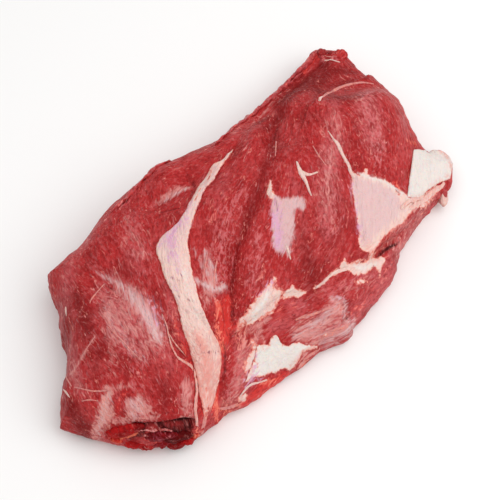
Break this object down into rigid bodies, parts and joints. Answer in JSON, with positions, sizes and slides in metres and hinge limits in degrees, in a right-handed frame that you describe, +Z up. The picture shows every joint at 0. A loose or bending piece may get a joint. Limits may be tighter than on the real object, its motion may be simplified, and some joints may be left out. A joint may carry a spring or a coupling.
{
  "type": "beef topside",
  "caption": "Raw boneless beef topside, a long uneven block of lean muscle with a fat strap, silverskin patches and a cut end, lying flat.",
  "frame": {"origin": "middle of the bounding box, on the flat underside", "axes": "+Z up off the underside, +X along the length from the thick cut end to the thin tip, +Y to the far side"},
  "size_m": [0.4502, 0.2402, 0.0979],
  "materials": {
    "meat": "moist raw lean muscle, satin to wet gloss, with cream fat and pale silverskin lying on it"
  },
  "bodies": {
    "root": {"topside": "meat"}
  },
  "joints": []
}
